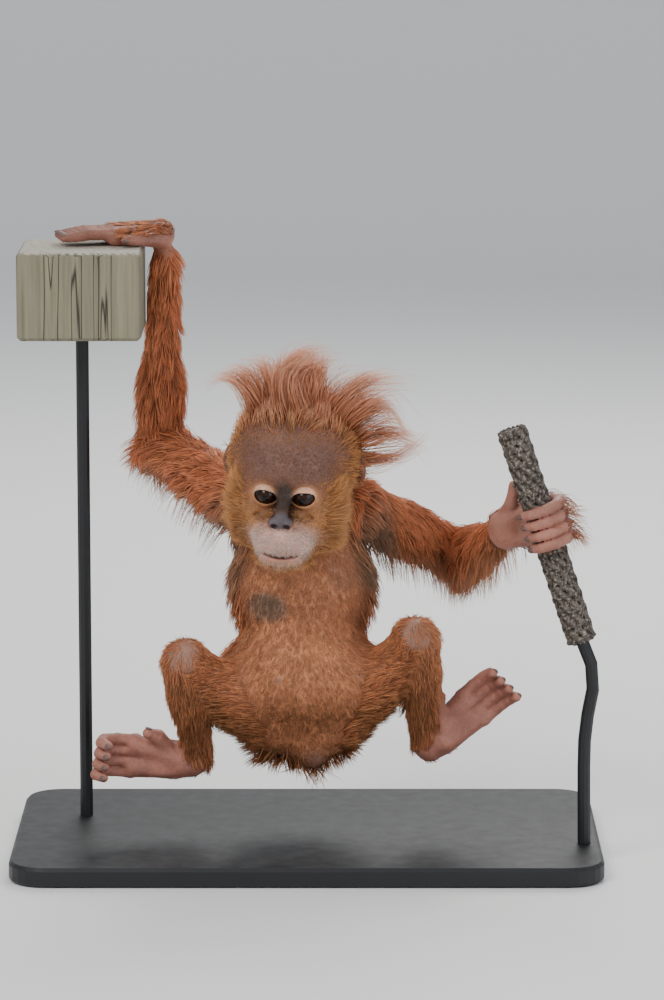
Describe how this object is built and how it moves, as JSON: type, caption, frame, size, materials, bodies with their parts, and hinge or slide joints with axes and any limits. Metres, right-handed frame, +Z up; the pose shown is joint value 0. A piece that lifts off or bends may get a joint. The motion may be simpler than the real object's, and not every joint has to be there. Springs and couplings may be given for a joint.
{
  "type": "infant orangutan on a display stand",
  "caption": "Life-size still model of an infant orangutan hanging by its hands between a post top and a rope, on a flat stand.",
  "frame": {"origin": "middle of the display base's underside", "axes": "+Z up; the animal faces -Y, and +X is its left"},
  "size_m": [0.528, 0.3048, 0.5667],
  "materials": {
    "coat": "long fine ginger hair over warm brown skin",
    "face_skin": "soft skin, purple-brown on the brow, pale round the eyes and mouth",
    "bare_skin": "creased mauve-brown skin of hands and feet",
    "eye": "wet dark brown eye",
    "rope": "weathered dark braided rope",
    "post_wood": "weathered grey-green timber",
    "stand": "satin black"
  },
  "bodies": {
    "root": {"stand_base": "stand", "stand_rod_rope": "stand", "stand_rod_post": "stand", "perch_post": "post_wood", "perch_rope": "rope", "head": "face_skin", "eye_l": "eye", "ear_l": "face_skin", "eye_r": "eye", "ear_r": "face_skin", "neck": "coat", "pelvis": "coat", "belly": "coat", "chest": "coat", "upper_arm_l": "coat", "forearm_l": "coat", "hand_l": "bare_skin", "thigh_l": "coat", "shin_l": "coat", "foot_l": "bare_skin", "thumb_l": "bare_skin", "index_l": "bare_skin", "middle_l": "bare_skin", "ring_l": "bare_skin", "little_l": "bare_skin", "hallux_l": "bare_skin", "toe2_l": "bare_skin", "toe3_l": "bare_skin", "toe4_l": "bare_skin", "toe5_l": "bare_skin", "upper_arm_r": "coat", "forearm_r": "coat", "hand_r": "bare_skin", "thigh_r": "coat", "shin_r": "coat", "foot_r": "bare_skin", "thumb_r": "bare_skin", "index_r": "bare_skin", "middle_r": "bare_skin", "ring_r": "bare_skin", "little_r": "bare_skin", "hallux_r": "bare_skin", "toe2_r": "bare_skin", "toe3_r": "bare_skin", "toe4_r": "bare_skin", "toe5_r": "bare_skin"}
  },
  "joints": []
}
